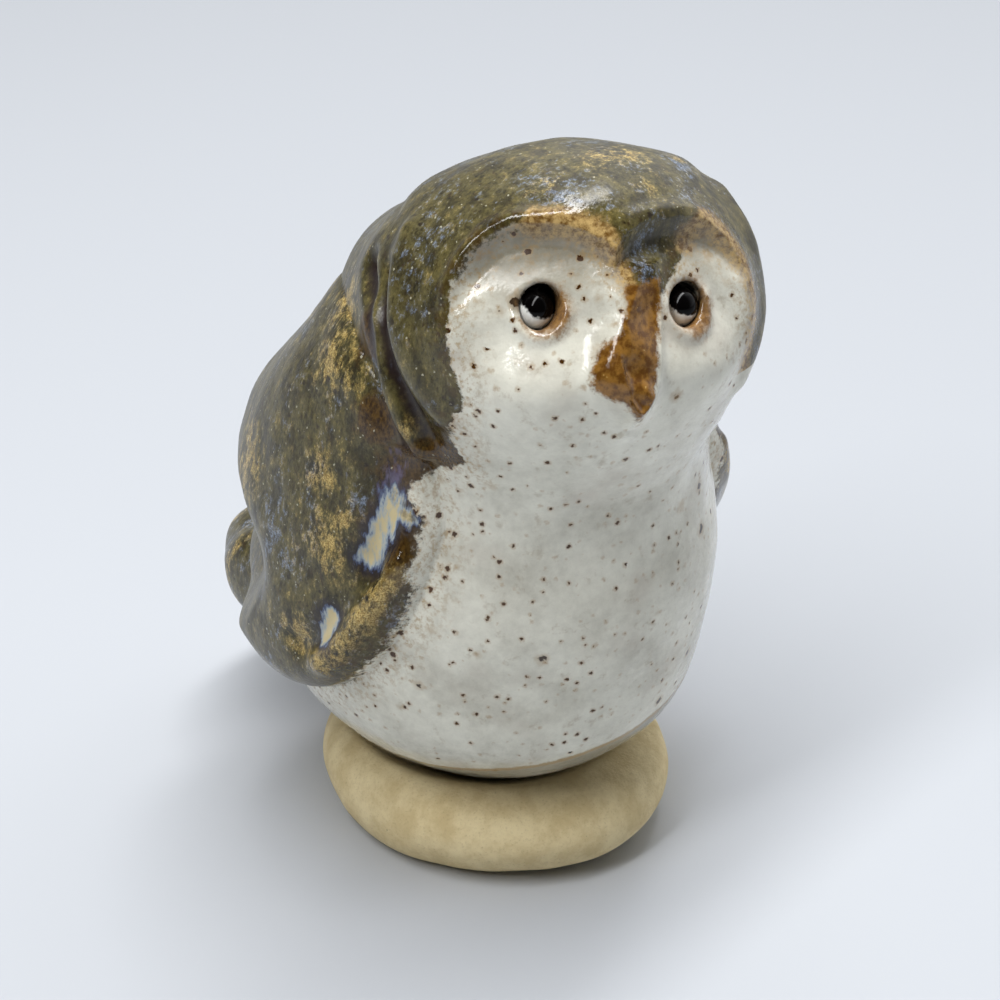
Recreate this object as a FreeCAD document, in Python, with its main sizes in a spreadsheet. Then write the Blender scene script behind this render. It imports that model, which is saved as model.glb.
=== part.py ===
import FreeCAD, Part

import os

import Sketcher

# A small hand-built stoneware owl. A hollow body pot stands on a thick foot pad, a ball of clay
# makes the head, and the beak, wings, shoulder rolls, tail and eye beads are pressed on to them.
# Millimetres. The origin is on the ground, on the body's own middle plane. The owl faces -Y,
# its right side is -X, and +Z is up.

# The body's oval stations, from the sole up: height, front, back, half width.
STATIONS = {
    "sole": (4.0, -4.5, 8.8, 6.1),
    "haunch": (9.0, -12.0, 14.2, 11.7),
    "rump": (15.0, -14.8, 19.2, 14.2),
    "belly": (21.0, -16.0, 18.7, 14.4),
    "breast": (27.0, -15.4, 16.9, 13.4),
    "shoulder": (33.0, -13.5, 12.7, 12.1),
    "neck": (39.0, -12.0, 9.2, 10.5),
    "nape": (43.5, -10.6, 5.2, 7.6),
    "crest": (46.0, -9.2, -1.6, 3.4),
}

# Where a rounded lump's ovals lie, as angles round its side outline from front to back.
DOME_ANGLES = (12, 30, 50, 70, 90, 110, 130, 150, 168)

DIMENSIONS = {
    # the foot pad, an oval disc that stands a little off the body's axis
    "pad_half_width": 11.4,
    "pad_half_depth": 12.8,
    "pad_height": 6.6,
    "pad_side": -0.4,
    "pad_front": -0.4,
    "pad_edge_round": 1.8,
    # the hollow in the body, and the vent that lets its air out in the kiln
    "hollow_half_width": 9.6,
    "hollow_half_depth": 11.5,
    "hollow_half_height": 11.5,
    "hollow_back": 2.6,
    "hollow_height": 20.0,
    "vent_bore": 1.0,
    "vent_back": 5.0,
    # the head, turned to the owl's right and tipped up
    "head_half_width": 11.9,
    "head_half_depth": 11.1,
    "head_half_height": 10.4,
    "head_side": -1.3,
    "head_front": -8.6,
    "head_height": 40.2,
    "head_turn": -21.5,
    "head_tip": -25.8,
    # the two shallow facial dishes, in the head's own directions
    "dish_side": 12.6,
    "dish_front": -27.1,
    "dish_up": 0.5,
    "dish_radius": 20.0,
    # the pierced eyes, and the bead of black glass that fills the bottom of each
    "eye_side": 4.54,
    "eye_up": 0.0,
    "eye_bore": 1.25,
    "socket_floor": -5.8,
    "socket_reach": 8.0,
    "bead_front": -7.7,
    "bead_dome": 2.4,
    # the beak, a pinched ridge between the dishes
    "beak_half_width": 2.1,
    "beak_half_depth": 3.0,
    "beak_half_height": 6.0,
    "beak_front": -10.4,
    "beak_up": -1.6,
    "beak_slope": 12.0,
    # the wings, leaves of clay pressed round the flanks
    "wing_thickness": 1.8,
    "wing_half_length": 14.0,
    "wing_half_breadth": 12.2,
    "wing_back": 4.0,
    "wing_height": 26.0,
    "wing_rake": 63.0,
    "wing_root": 5.0,
    "wing_reach": 20.0,
    # the rolls of clay that join the wing tops to the head
    "roll_half_length": 5.2,
    "roll_half_breadth": 2.6,
    "roll_side": 11.4,
    "roll_front": -4.9,
    "roll_height": 36.4,
    "roll_rake": 52.0,
    # the tail, a short broad fan
    "tail_half_width": 9.6,
    "tail_half_depth": 9.6,
    "tail_half_height": 5.2,
    "tail_back": 15.6,
    "tail_height": 12.3,
    "tail_droop": -14.0,
}

doc = FreeCAD.newDocument("owl_figurine")
dims = doc.addObject("Spreadsheet::Sheet", "dims")


def fill_sheet():
    """Write every driving dimension into the sheet, one aliased cell each."""
    cells = dict(DIMENSIONS)
    for station, values in STATIONS.items():
        for part, value in zip(("height", "front", "back", "half_width"), values):
            cells[station + "_" + part] = value
    for row, (alias, value) in enumerate(cells.items(), start=1):
        dims.set("A%d" % row, alias)
        dims.set("B%d" % row, str(value))
        dims.setAlias("B%d" % row, alias)
    doc.recompute()


def bind(obj, **expressions):
    """Bind properties to sheet cells; a double underscore in a name stands for a dot."""
    for name, expression in expressions.items():
        obj.setExpression(name.replace("__", "."), expression)
    return obj


def vector(side, front, up):
    return "create(<<vector>>; %s; %s; %s)" % (side, front, up)


def turn(yaw="0", pitch="0", roll="0"):
    return "create(<<rotation>>; %s; %s; %s)" % (yaw, pitch, roll)


def place(obj, where, rotation=turn(), carrier=None):
    """Place an object by expression, in a carrier object's own frame where one is given."""
    local = "create(<<placement>>; %s; %s)" % (where, rotation)
    obj.setExpression("Placement", carrier.Name + ".Placement * " + local if carrier else local)
    return obj


def ellipsoid(name, half_width, half_depth, half_height):
    ball = doc.addObject("Part::Ellipsoid", name)
    return bind(ball, Radius2=half_width, Radius3=half_depth, Radius1=half_height)


def loft_through(name, ovals):
    loft = doc.addObject("Part::Loft", name)
    loft.Sections = ovals
    loft.Solid = True
    loft.Ruled = False
    return loft


def domed_loft(name, half_width, half_depth, half_height, tall=False):
    """A rounded lump: ovals stacked from front to back, on the outline of an ellipse.

    Both ends are small flats, which lie inside the pieces beside them or on a ridge.
    """
    long_radius, short_radius = (half_height, half_width) if tall else (half_width, half_height)
    upright = turn(roll="90") + (" * " + turn(yaw="90") if tall else "")
    ovals = []
    for angle in DOME_ANGLES:
        oval = doc.addObject("Part::Ellipse", "%s_oval_%d" % (name, angle))
        girth = " * sin(%d deg)" % angle
        bind(oval, MajorRadius=long_radius + girth, MinorRadius=short_radius + girth)
        place(oval, vector("0", "-%s * cos(%d deg)" % (half_depth, angle), "0"), upright)
        ovals.append(oval)
    return loft_through(name, ovals)


def cylinder(name, radius, height):
    return bind(doc.addObject("Part::Cylinder", name), Radius=radius, Height=height)


def boolean(kind, name, base, tool):
    result = doc.addObject("Part::" + kind, name)
    result.Base = base
    result.Tool = tool
    return result


def cut_all(name, base, tools):
    """Cut the tools from the base one after another; the last cut carries the name."""
    for count, tool in enumerate(tools, start=1):
        step = name if count == len(tools) else "%s_step_%d" % (name, count)
        base = boolean("Cut", step, base, tool)
    return base


def oval_loft(name, grow):
    """The body's outer form, grown all round by the thickness given."""
    ovals = []
    for station in STATIONS:
        cell = "dims." + station + "_"
        oval = doc.addObject("Part::Ellipse", name + "_" + station)
        half_depth = "(%sback - %sfront) / 2 + %s" % (cell, cell, grow)
        bind(oval, MajorRadius=half_depth, MinorRadius=cell + "half_width + " + grow)
        middle = "(%sback + %sfront) / 2" % (cell, cell)
        place(oval, vector("0", middle, cell + "height"), turn(yaw="90"))
        ovals.append(oval)
    return loft_through(name, ovals)


def pad_disc():
    """The foot pad before the body is pressed into it: an oval disc with rounded edges."""
    body = doc.addObject("PartDesign::Body", "pad_disc")
    ground = [f for f in body.Origin.OriginFeatures if f.Role == "XY_Plane"][0]
    sketch = body.newObject("Sketcher::SketchObject", "pad_outline")
    sketch.AttachmentSupport = [(ground, "")]
    sketch.MapMode = "FlatFace"
    centre = FreeCAD.Vector(0, 0, 0)
    long_end = FreeCAD.Vector(0, DIMENSIONS["pad_half_depth"], 0)
    short_end = FreeCAD.Vector(-DIMENSIONS["pad_half_width"], 0, 0)
    sketch.addGeometry(Part.Ellipse(long_end, short_end, centre), False)
    sketch.exposeInternalGeometry(0)
    long_axis, short_axis, oval_centre, origin, origin_point = 1, 2, 3, -1, 1
    sketch.addConstraint(Sketcher.Constraint("Coincident", 0, oval_centre, origin, origin_point))
    sketch.addConstraint(Sketcher.Constraint("Vertical", long_axis))
    for axis, name in ((long_axis, "pad_half_depth"), (short_axis, "pad_half_width")):
        length = Sketcher.Constraint("Distance", axis, 2 * DIMENSIONS[name])
        number = sketch.addConstraint(length)
        sketch.setExpression("Constraints[%d]" % number, "2 * dims." + name)
    disc = body.newObject("PartDesign::Pad", "pad_thickness")
    disc.Profile = sketch
    bind(disc, Length="dims.pad_height")
    doc.recompute()
    rims = [n for n, e in enumerate(disc.Shape.Edges, start=1) if e.isClosed() and e.Length > 1]
    rounding = body.newObject("PartDesign::Fillet", "pad_rounding")
    rounding.Base = (disc, ["Edge%d" % n for n in rims])
    bind(rounding, Radius="dims.pad_edge_round")
    place(body, vector("dims.pad_side", "dims.pad_front", "0"))
    return body


def make_head_ball():
    ball = domed_loft("head_ball", "dims.head_half_width", "dims.head_half_depth",
                      "dims.head_half_height")
    return place(ball, vector("dims.head_side", "dims.head_front", "dims.head_height"),
                 turn("dims.head_turn", "0", "dims.head_tip"))


def make_dish(side, sign, head_ball):
    dish = bind(doc.addObject("Part::Sphere", side + "_dish"), Radius="dims.dish_radius")
    where = vector(sign + "dims.dish_side", "dims.dish_front", "dims.dish_up")
    return place(dish, where, carrier=head_ball)


def make_socket(side, sign, head_ball):
    """The pierced eye hole, a bore along the head's own front-to-back line."""
    socket = cylinder(side + "_socket", "dims.eye_bore", "dims.socket_reach")
    where = vector(sign + "dims.eye_side", "dims.socket_floor", "dims.eye_up")
    return place(socket, where, turn(roll="90"), head_ball)


def make_eye(side, sign, head_ball, socket):
    """A bead of black glass: the bottom of the socket, with a domed front."""
    dome = bind(doc.addObject("Part::Sphere", side + "_bead_dome"), Radius="dims.bead_dome")
    where = vector(sign + "dims.eye_side", "dims.bead_front + dims.bead_dome", "dims.eye_up")
    place(dome, where, carrier=head_ball)
    return boolean("Common", side + "_eye", socket, dome)


def make_beak(head_ball, head_form):
    blank = domed_loft("beak_blank", "dims.beak_half_width", "dims.beak_half_depth",
                       "dims.beak_half_height", tall=True)
    place(blank, vector("0", "dims.beak_front", "dims.beak_up"), turn(roll="dims.beak_slope"),
          head_ball)
    return boolean("Cut", "beak", blank, head_form)


def make_wing(side, sign, jacket, under):
    """A leaf of clay: an oval outline, seen from the side, of a jacket round the body."""
    outline = doc.addObject("Part::Ellipse", side + "_wing_outline")
    bind(outline, MajorRadius="dims.wing_half_length", MinorRadius="dims.wing_half_breadth")
    leaf = doc.addObject("Part::Extrusion", side + "_wing_leaf")
    leaf.Base = outline
    leaf.DirMode = "Custom"
    leaf.Dir = FreeCAD.Vector(1, 0, 0)
    leaf.Solid = True
    bind(leaf, LengthFwd=sign + "dims.wing_reach")
    # the outline stands in the side view: its long axis falls towards the back
    facing = turn(sign + "90", "0", "90")
    lean = turn(yaw="-(%sdims.wing_rake)" % sign)
    where = vector(sign + "dims.wing_root", "dims.wing_back", "dims.wing_height")
    outline.setExpression("Placement", "create(<<placement>>; %s; %s * %s)" % (where, facing, lean))
    shell = boolean("Common", side + "_wing_shell", jacket, leaf)
    return cut_all(side + "_wing", shell, under)


def make_roll(side, sign, under):
    roll = ellipsoid(side + "_roll_blank", "dims.roll_half_breadth", "dims.roll_half_length",
                     "dims.roll_half_breadth")
    where = vector(sign + "dims.roll_side", "dims.roll_front", "dims.roll_height")
    place(roll, where, turn(roll="dims.roll_rake"))
    return cut_all(side + "_shoulder_roll", roll, under)


def make_tail(under):
    blank = domed_loft("tail_blank", "dims.tail_half_width", "dims.tail_half_depth",
                       "dims.tail_half_height")
    place(blank, vector("0", "dims.tail_back", "dims.tail_height"), turn(roll="dims.tail_droop"))
    return cut_all("tail", blank, under)


def build():
    """Make every sub-part and return them, the foot first."""
    body_form = oval_loft("body_form", "0")
    jacket = oval_loft("wing_jacket", "dims.wing_thickness")
    head_ball = make_head_ball()

    hollow = domed_loft("body_hollow", "dims.hollow_half_width", "dims.hollow_half_depth",
                        "dims.hollow_half_height", tall=True)
    place(hollow, vector("0", "dims.hollow_back", "dims.hollow_height"))
    vent = cylinder("vent", "dims.vent_bore", "dims.hollow_height")
    place(vent, vector("0", "dims.vent_back", "0"))

    base_pad = cut_all("base_pad", pad_disc(), [body_form, vent])
    body_shell = cut_all("body_shell", body_form, [head_ball, hollow, vent])

    sides = (("right", "-"), ("left", ""))
    dishes = [make_dish(side, sign, head_ball) for side, sign in sides]
    head_form = cut_all("head_form", head_ball, dishes)
    sockets = [make_socket(side, sign, head_ball) for side, sign in sides]
    head = cut_all("head", head_form, sockets)
    beak = make_beak(head_ball, head_form)
    eyes = [make_eye(side, sign, head_ball, socket) for (side, sign), socket in zip(sides, sockets)]

    rolls = [make_roll(side, sign, [body_form, head_ball]) for side, sign in sides]
    wings = [make_wing(side, sign, jacket, [body_form, head_ball, roll])
             for (side, sign), roll in zip(sides, rolls)]
    tail = make_tail([body_form] + wings)
    return [base_pad, body_shell, head, beak] + eyes + wings + rolls + [tail]


def check(pieces):
    """Stop on any failed object, and on any sub-part that isn't a valid solid."""
    for obj in doc.Objects:
        if "Invalid" in obj.State or "Error" in obj.State:
            raise RuntimeError("failed object: " + obj.Name)
    for piece in pieces:
        if piece.Shape.isNull() or not piece.Shape.isValid() or not piece.Shape.Solids:
            raise RuntimeError("bad shape: " + piece.Label)


fill_sheet()
subparts = build()
doc.recompute()
check(subparts)
os.makedirs("parts", exist_ok=True)
for piece in subparts:
    piece.Shape.exportStep("parts/" + piece.Label + ".step")
    box = piece.Shape.optimalBoundingBox(False, False)
    print("%-20s solids %d  volume %8.1f mm3  x %.1f..%.1f  y %.1f..%.1f  z %.1f..%.1f" % (
        piece.Label, len(piece.Shape.Solids), piece.Shape.Volume,
        box.XMin, box.XMax, box.YMin, box.YMax, box.ZMin, box.ZMax))
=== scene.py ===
"""The looks of a hand-built stoneware owl: glazed clay lumps on a raw clay pad.

The clay is worked out as one continuous form, a signed distance in millimetres, and each piece
is the part of that form nearest to its own lump, so that the joints between pieces are flush.
"""
import math

import bpy
import numpy as np
import openvdb
from mathutils import Matrix, Vector


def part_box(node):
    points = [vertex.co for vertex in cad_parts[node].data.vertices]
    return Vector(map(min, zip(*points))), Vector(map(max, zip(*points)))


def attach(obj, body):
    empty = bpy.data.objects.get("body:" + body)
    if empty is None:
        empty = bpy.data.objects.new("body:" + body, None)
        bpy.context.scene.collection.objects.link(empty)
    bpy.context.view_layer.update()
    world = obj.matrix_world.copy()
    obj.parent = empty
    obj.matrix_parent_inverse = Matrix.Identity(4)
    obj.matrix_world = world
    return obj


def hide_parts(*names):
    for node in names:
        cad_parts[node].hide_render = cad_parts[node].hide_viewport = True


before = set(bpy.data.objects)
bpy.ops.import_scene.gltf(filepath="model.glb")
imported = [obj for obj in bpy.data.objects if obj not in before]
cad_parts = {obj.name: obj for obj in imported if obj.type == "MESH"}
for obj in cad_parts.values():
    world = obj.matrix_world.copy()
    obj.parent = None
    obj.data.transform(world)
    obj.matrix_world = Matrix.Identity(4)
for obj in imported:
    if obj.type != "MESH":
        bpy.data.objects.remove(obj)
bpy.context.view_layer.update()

MM = 0.001

# The clay body: height, front, back and half width of each oval that it is drawn through.
BODY_OVALS = (
    (4.0, -4.5, 8.8, 6.1),
    (9.0, -12.0, 14.2, 11.7),
    (15.0, -14.8, 19.2, 14.2),
    (21.0, -16.0, 18.7, 14.4),
    (27.0, -15.4, 16.9, 13.4),
    (33.0, -13.5, 12.7, 12.1),
    (39.0, -12.0, 9.2, 10.5),
    (43.5, -10.6, 5.2, 7.6),
    (46.0, -9.2, -1.6, 3.4),
)
HOLLOW_CENTRE = (0.0, 2.6, 20.0)
HOLLOW_HALF_SIZES = (9.6, 11.5, 11.5)
VENT_PLACE = (0.0, 5.0)
VENT_RADIUS = 1.0

HEAD_CENTRE = (-1.3, -8.6, 40.2)
HEAD_HALF_SIZES = (11.9, 11.1, 10.4)
HEAD_TURN = -21.5
HEAD_TIP = -25.8

FACE_SIDE = 0.37
EYE_SIDE = 4.37
EYE_UP = 0.3
LEFT_EYE_DROP = 0.9
EYE_RADIUS = 1.08
EYE_FLOOR = -6.4
EYE_LIP = 0.32
BEAD_HALF_SIZES = (1.2, 1.7, 1.3)
BEAD_MIDDLE = (0.0, -7.4, 0.0)

WING_THICKNESS = 1.8
WING_CENTRE = (4.0, 26.0)
WING_HALF_SIZES = (14.0, 12.2)
WING_RAKE = 63.0
WING_INNER_SIDE = 5.0

ROLL_PATH = ((-11.5, -4.4, 41.0), (-11.9, -5.8, 38.4), (-11.8, -6.9, 35.9), (-11.7, -7.5, 34.3))
ROLL_RADIUS = 1.5

TAIL_CENTRE = (0.0, 15.6, 12.2)
TAIL_HALF_SIZES = (9.8, 9.9, 4.8)
TAIL_POWER = 2.6
FEATHER_ANGLE = math.radians(12.0)
TAIL_DROOP = -12.0

PAD_CENTRE = (-0.4, -0.4, 3.0)
PAD_HALF_SIZES = (11.4, 12.8, 5.0)
PAD_RIM_RISE = 1.2
PAD_HEIGHT = 6.6

SEAM_OVERLAP = 0.6
SEAM_SINK = 0.6


def turn(yaw, tip):
    """The axes, as columns, of a lump tipped about X and then turned about Z."""
    turned = Matrix.Rotation(math.radians(yaw), 3, "Z") @ Matrix.Rotation(math.radians(tip), 3, "X")
    return np.array(turned)


HEAD_AXES = turn(HEAD_TURN, HEAD_TIP)
TAIL_AXES = turn(0.0, TAIL_DROOP)


def smooth_union(first, second, blend):
    overlap = np.maximum(blend - np.abs(first - second), 0.0) / blend
    return np.minimum(first, second) - overlap * overlap * blend / 4


def smooth_cut(first, second, blend):
    """What is inside both, with a rounded edge."""
    return -smooth_union(-first, -second, blend)


def ramp(value, start, end):
    """0 up to start, 1 from end on, and smooth between."""
    share = np.clip((value - start) / (end - start), 0.0, 1.0)
    return share * share * (3 - 2 * share)


def hump(distance, width):
    return np.exp(-((distance / width) ** 2))


def mirrored(points):
    """The same points on the owl's right side, where x is below 0."""
    return np.column_stack((-np.abs(points[:, 0]), points[:, 1], points[:, 2]))


def in_head(points):
    return (points - HEAD_CENTRE) @ HEAD_AXES


LATTICE_SIDE = 24


def clay_noise(points, size, seed):
    """Smooth lumps about size across, from -1 to 1, the same for the same seed."""
    lattice = np.random.default_rng(seed).uniform(-1.0, 1.0, (LATTICE_SIDE,) * 3)
    skewed = points @ turn(37.0 * seed, 53.0 * seed) / size
    cell = np.floor(skewed).astype(np.int64)
    share = skewed - cell
    share = share ** 3 * (share * (share * 6 - 15) + 10)
    total = np.zeros(len(points))
    for corner in np.ndindex(2, 2, 2):
        index = tuple(((cell + corner) % LATTICE_SIDE).T)
        weight = np.prod(np.where(corner, share, 1 - share), axis=1)
        total += weight * lattice[index]
    return total


def ellipsoid(points, half_sizes):
    scaled = points / half_sizes
    size = np.sqrt((scaled ** 2).sum(1))
    steepness = np.sqrt(((scaled / half_sizes) ** 2).sum(1)) + 1e-9
    return size * (size - 1) / steepness


def natural_spline(knots, values):
    """Second derivatives at the knots of the natural cubic spline through the values."""
    gaps = np.diff(knots)
    count = len(knots)
    system = np.eye(count)
    right = np.zeros(count)
    for k in range(1, count - 1):
        system[k, k - 1:k + 2] = gaps[k - 1], 2 * (gaps[k - 1] + gaps[k]), gaps[k]
        right[k] = 6 * ((values[k + 1] - values[k]) / gaps[k] - (values[k] - values[k - 1]) / gaps[k - 1])
    return np.linalg.solve(system, right)


def along_spline(knots, values, bends, place):
    """The spline's value and slope at each place."""
    k = np.clip(np.searchsorted(knots, place) - 1, 0, len(knots) - 2)
    gap = knots[k + 1] - knots[k]
    left, right = (knots[k + 1] - place) / gap, (place - knots[k]) / gap
    value = (left * values[k] + right * values[k + 1]
             + ((left ** 3 - left) * bends[k] + (right ** 3 - right) * bends[k + 1]) * gap ** 2 / 6)
    slope = ((values[k + 1] - values[k]) / gap
             + (-(3 * left ** 2 - 1) * bends[k] + (3 * right ** 2 - 1) * bends[k + 1]) * gap / 6)
    return value, slope


BODY_KNOTS, *BODY_CURVES = np.array(BODY_OVALS).T
BODY_BENDS = [natural_spline(BODY_KNOTS, curve) for curve in BODY_CURVES]


def smooth_path(path, steps=5):
    """Points along the natural spline through a few given ones."""
    corners = np.array(path)
    knots = np.arange(len(corners), dtype=float)
    places = np.linspace(0, knots[-1], steps * (len(corners) - 1) + 1)
    return np.column_stack([along_spline(knots, axis, natural_spline(knots, axis), places)[0]
                            for axis in corners.T])


def path_distance(points, path, reach):
    """Distance to the path and how far along it, from 0 to 1; beyond reach both are left large."""
    stations = smooth_path(path)
    distance = np.full(len(points), 1e3)
    along = np.zeros(len(points))
    near = np.all((points > stations.min(0) - reach) & (points < stations.max(0) + reach), axis=1)
    close = points[near]
    best, place = distance[near], along[near]
    count = len(stations) - 1
    for k in range(count):
        start, run = stations[k], stations[k + 1] - stations[k]
        share = np.clip((close - start) @ run / (run @ run), 0.0, 1.0)
        away = np.linalg.norm(close - start - share[:, None] * run, axis=1)
        nearer = away < best
        best = np.where(nearer, away, best)
        place = np.where(nearer, (k + share) / count, place)
    distance[near], along[near] = best, place
    return distance, along


def rise(points, path, height, width):
    """A rounded ridge of that height along a path."""
    return height * hump(path_distance(points, path, 3 * width)[0], width)


def body_lump(points):
    """Distance from the lofted body, measured out from its middle line in each level section."""
    height = np.clip(points[:, 2], BODY_KNOTS[0], BODY_KNOTS[-1])
    (front, front_slope), (back, back_slope), (half, half_slope) = (
        along_spline(BODY_KNOTS, curve, bends, height) for curve, bends in zip(BODY_CURVES, BODY_BENDS))
    middle, depth = (front + back) / 2, (back - front) / 2
    middle_slope, depth_slope = (front_slope + back_slope) / 2, (back_slope - front_slope) / 2
    away = np.hypot(points[:, 0], points[:, 1] - middle) + 1e-6
    across, along = points[:, 0] / away / half, (points[:, 1] - middle) / away / depth
    radius = 1 / np.sqrt(across ** 2 + along ** 2)
    spread = radius ** 3 * (across ** 2 * half_slope / half + along ** 2 * depth_slope / depth)
    lean = spread + middle_slope * along * depth
    side = (away - radius) / np.sqrt(1 + lean ** 2)
    ends = np.maximum(BODY_KNOTS[0] - points[:, 2], points[:, 2] - BODY_KNOTS[-1])
    return smooth_cut(side, ends, 1.5)


def wing_outline(side_points):
    """Distance outside the wing's outline, seen from the side."""
    rake = math.radians(WING_RAKE)
    y, z = side_points[:, 1] - WING_CENTRE[0], side_points[:, 2] - WING_CENTRE[1]
    length = (y * math.cos(rake) - z * math.sin(rake)) / WING_HALF_SIZES[0]
    breadth = (y * math.sin(rake) + z * math.cos(rake)) / WING_HALF_SIZES[1]
    size = np.sqrt(length ** 2 + breadth ** 2) + 1e-9
    return (size - 1) * size / np.sqrt((length / WING_HALF_SIZES[0]) ** 2
                                        + (breadth / WING_HALF_SIZES[1]) ** 2)


WING_EDGE = 2.2
RIDGE_PATH = ((-13.4, -7.7, 25.9), (-14.7, -6.6, 23.3), (-15.6, -4.9, 20.2), (-16.0, -2.4, 17.4))
GROOVE_PATH = ((-14.2, -5.6, 25.0), (-15.2, -4.2, 22.6), (-15.7, -2.8, 20.0), (-15.9, -0.4, 17.8))
POOL_PATH = ((-12.9, -6.4, 32.4), (-12.8, -6.4, 30.6), (-13.3, -6.3, 28.0), (-14.0, -5.4, 25.6))
# Where the wing's rear edge curves in above the tail, in the side view.
BITE_CENTRE = (14.5, 19.5)
BITE_HALF_SIZES = (7.5, 5.0)
DENT_PATH = ((-15.8, 6.6, 20.6), (-12.5, 11.5, 20.6), (-8.0, 16.0, 20.6))


def wing_relief(side_points):
    """How far the wing stands out from the body: a slab with a rounded edge, a raised lower
    front edge, hollows behind it that the glaze has run into, and a dent above the tail."""
    share = np.clip(-wing_outline(side_points) / WING_EDGE, 0.0, 1.0)
    slab = WING_THICKNESS * np.sqrt(1 - (1 - share) ** 2)
    slab *= 1 - ramp(side_points[:, 0], -WING_INNER_SIDE - 3, -WING_INNER_SIDE + 3)
    slab *= 1 - 0.8 * ramp(side_points[:, 2] + 0.5 * side_points[:, 1], 35.0, 43.0)
    bite = np.linalg.norm((side_points[:, 1:] - BITE_CENTRE) / BITE_HALF_SIZES, axis=1)
    slab *= ramp(bite, 0.8, 1.3)
    return (slab + rise(side_points, RIDGE_PATH, 0.6, 1.0) - rise(side_points, GROOVE_PATH, 0.65, 1.0)
            - rise(side_points, POOL_PATH, 1.0, 1.2) - rise(side_points, DENT_PATH, 1.6, 2.6))


DISH_CENTRE = (4.9, -1.5)
DISH_HALF_SIZES = (5.7, 6.7)
DISH_POWER = 2.5
DISH_DEPTH = 1.3
DISH_LEAN = 9.0
LEFT_DISH_DROP = 0.7


def face_map(local):
    """Places on the face as millimetres round and up the ball of the head from its middle."""
    scaled = local / HEAD_HALF_SIZES
    scaled /= np.linalg.norm(scaled, axis=1)[:, None] + 1e-9
    around = np.arctan2(scaled[:, 0], -scaled[:, 1]) * 11.5
    return around - FACE_SIDE, np.arcsin(np.clip(scaled[:, 2], -1, 1)) * 10.6


def dish_reach(around, up):
    """How far out in its dish a point of the face is: 0 at the middle and 1 at the rim."""
    lean = math.radians(DISH_LEAN)
    aside = np.abs(around) - DISH_CENTRE[0]
    rise_up = up - DISH_CENTRE[1] + LEFT_DISH_DROP * ramp(around, 0.0, 6.0)
    across = (aside * math.cos(lean) + rise_up * math.sin(lean)) / DISH_HALF_SIZES[0]
    along = (rise_up * math.cos(lean) - aside * math.sin(lean)) / DISH_HALF_SIZES[1]
    return (np.abs(across) ** DISH_POWER + np.abs(along) ** DISH_POWER) ** (1 / DISH_POWER)


def eye_distance(around, up, lean=0.0):
    """Distance over the face from the middle of the nearest eye, or from a place `lean` to the
    owl's left of it and a little below."""
    drop = LEFT_EYE_DROP * ramp(around, 0.0, 4.0) - EYE_UP
    aside = np.abs(around) - 1.12 * EYE_SIDE - lean * np.sign(around)
    return np.hypot(aside, (up + drop + 0.6 * lean) * 0.9)


def face_relief(local):
    """How far the face stands out from the ball of the head: less in the two dishes round the
    eyes, which end above in a crisp ledge, and more on the brow and the cheeks."""
    around, up = face_map(local)
    front = ramp(-local[:, 1], 0.0, 4.0)
    reach = dish_reach(around, up)
    above = ramp(up, 0.0, 3.5)
    soft = 1 - ramp(reach, 0.35, 1.03)
    crisp = 1 - np.clip((reach - 0.86) / 0.14, 0.0, 1.0) ** 2
    dish = (soft + above * 0.85 * (crisp - soft)) * ramp(up, -5.5, -0.5)
    outside = (reach - 1.0) * DISH_HALF_SIZES[1]
    brow = hump(outside - 0.45, 0.6) + 0.5 * hump(outside - 0.7, 1.5)
    brow *= ramp(up, 0.5, 3.0) * (1 - 0.8 * ramp(around, 5.0, 9.0)) * (0.2 + 0.8 * ramp(np.abs(around), 0.5, 3.5))
    cap = hump(np.hypot(around - 0.6, 0.6 * (up - 4.8)), 1.9)
    cheek = hump(np.hypot(np.abs(around) - 6.0, up + 4.6), 3.6)
    lip = hump(eye_distance(around, up) - 1.7, 0.45) * (1 - 0.8 * ramp(up, -0.6, 0.8))
    return front * (0.35 * brow + 0.4 * cap + 0.35 * cheek + EYE_LIP * lip - DISH_DEPTH * dish)


# The beak's ridge from the brow to the hooked tip: height, side, front, how fast the owl's right
# flank falls back from it, and how wide that flank is.
BEAK_RIDGE = (
    (2.0, 2.6, -10.2, 0.2, 0.6),
    (0.0, 2.35, -11.2, 0.26, 1.5),
    (-2.6, 1.8, -12.0, 0.46, 2.8),
    (-4.4, 1.45, -12.25, 0.62, 3.2),
    (-5.6, 1.15, -11.8, 0.9, 2.4),
    (-6.5, 0.8, -10.7, 1.5, 1.2),
    (-7.1, 0.6, -8.8, 2.4, 0.6),
    (-7.4, 0.5, -7.0, 3.0, 0.4),
)
BEAK_KNOTS, *BEAK_CURVES = np.array(BEAK_RIDGE[::-1]).T
BEAK_BENDS = [natural_spline(BEAK_KNOTS, curve) for curve in BEAK_CURVES]
BEAK_BACK = -7.0
LEFT_FLANK = 3.2


def beak_lump(local):
    """A wedge in front of the face with a curved ridge and a steep left flank."""
    height = np.clip(local[:, 2], BEAK_KNOTS[0], BEAK_KNOTS[-1])
    side, front, fall, width = (along_spline(BEAK_KNOTS, curve, bends, height)[0]
                                for curve, bends in zip(BEAK_CURVES, BEAK_BENDS))
    left = local[:, 0] > side
    aside = np.sqrt((local[:, 0] - side) ** 2 + 0.3 ** 2) - 0.3
    fall = np.where(left, LEFT_FLANK, fall)
    past = np.maximum(aside - 0.7 * width, 0.0)
    surface = front + fall * aside + 0.7 * past ** 2
    ahead = (surface - local[:, 1]) / np.sqrt(1.3 + (fall + 1.4 * past) ** 2)
    return np.maximum.reduce([ahead, local[:, 1] - BEAK_BACK, np.abs(local[:, 2] - height)])


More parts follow.
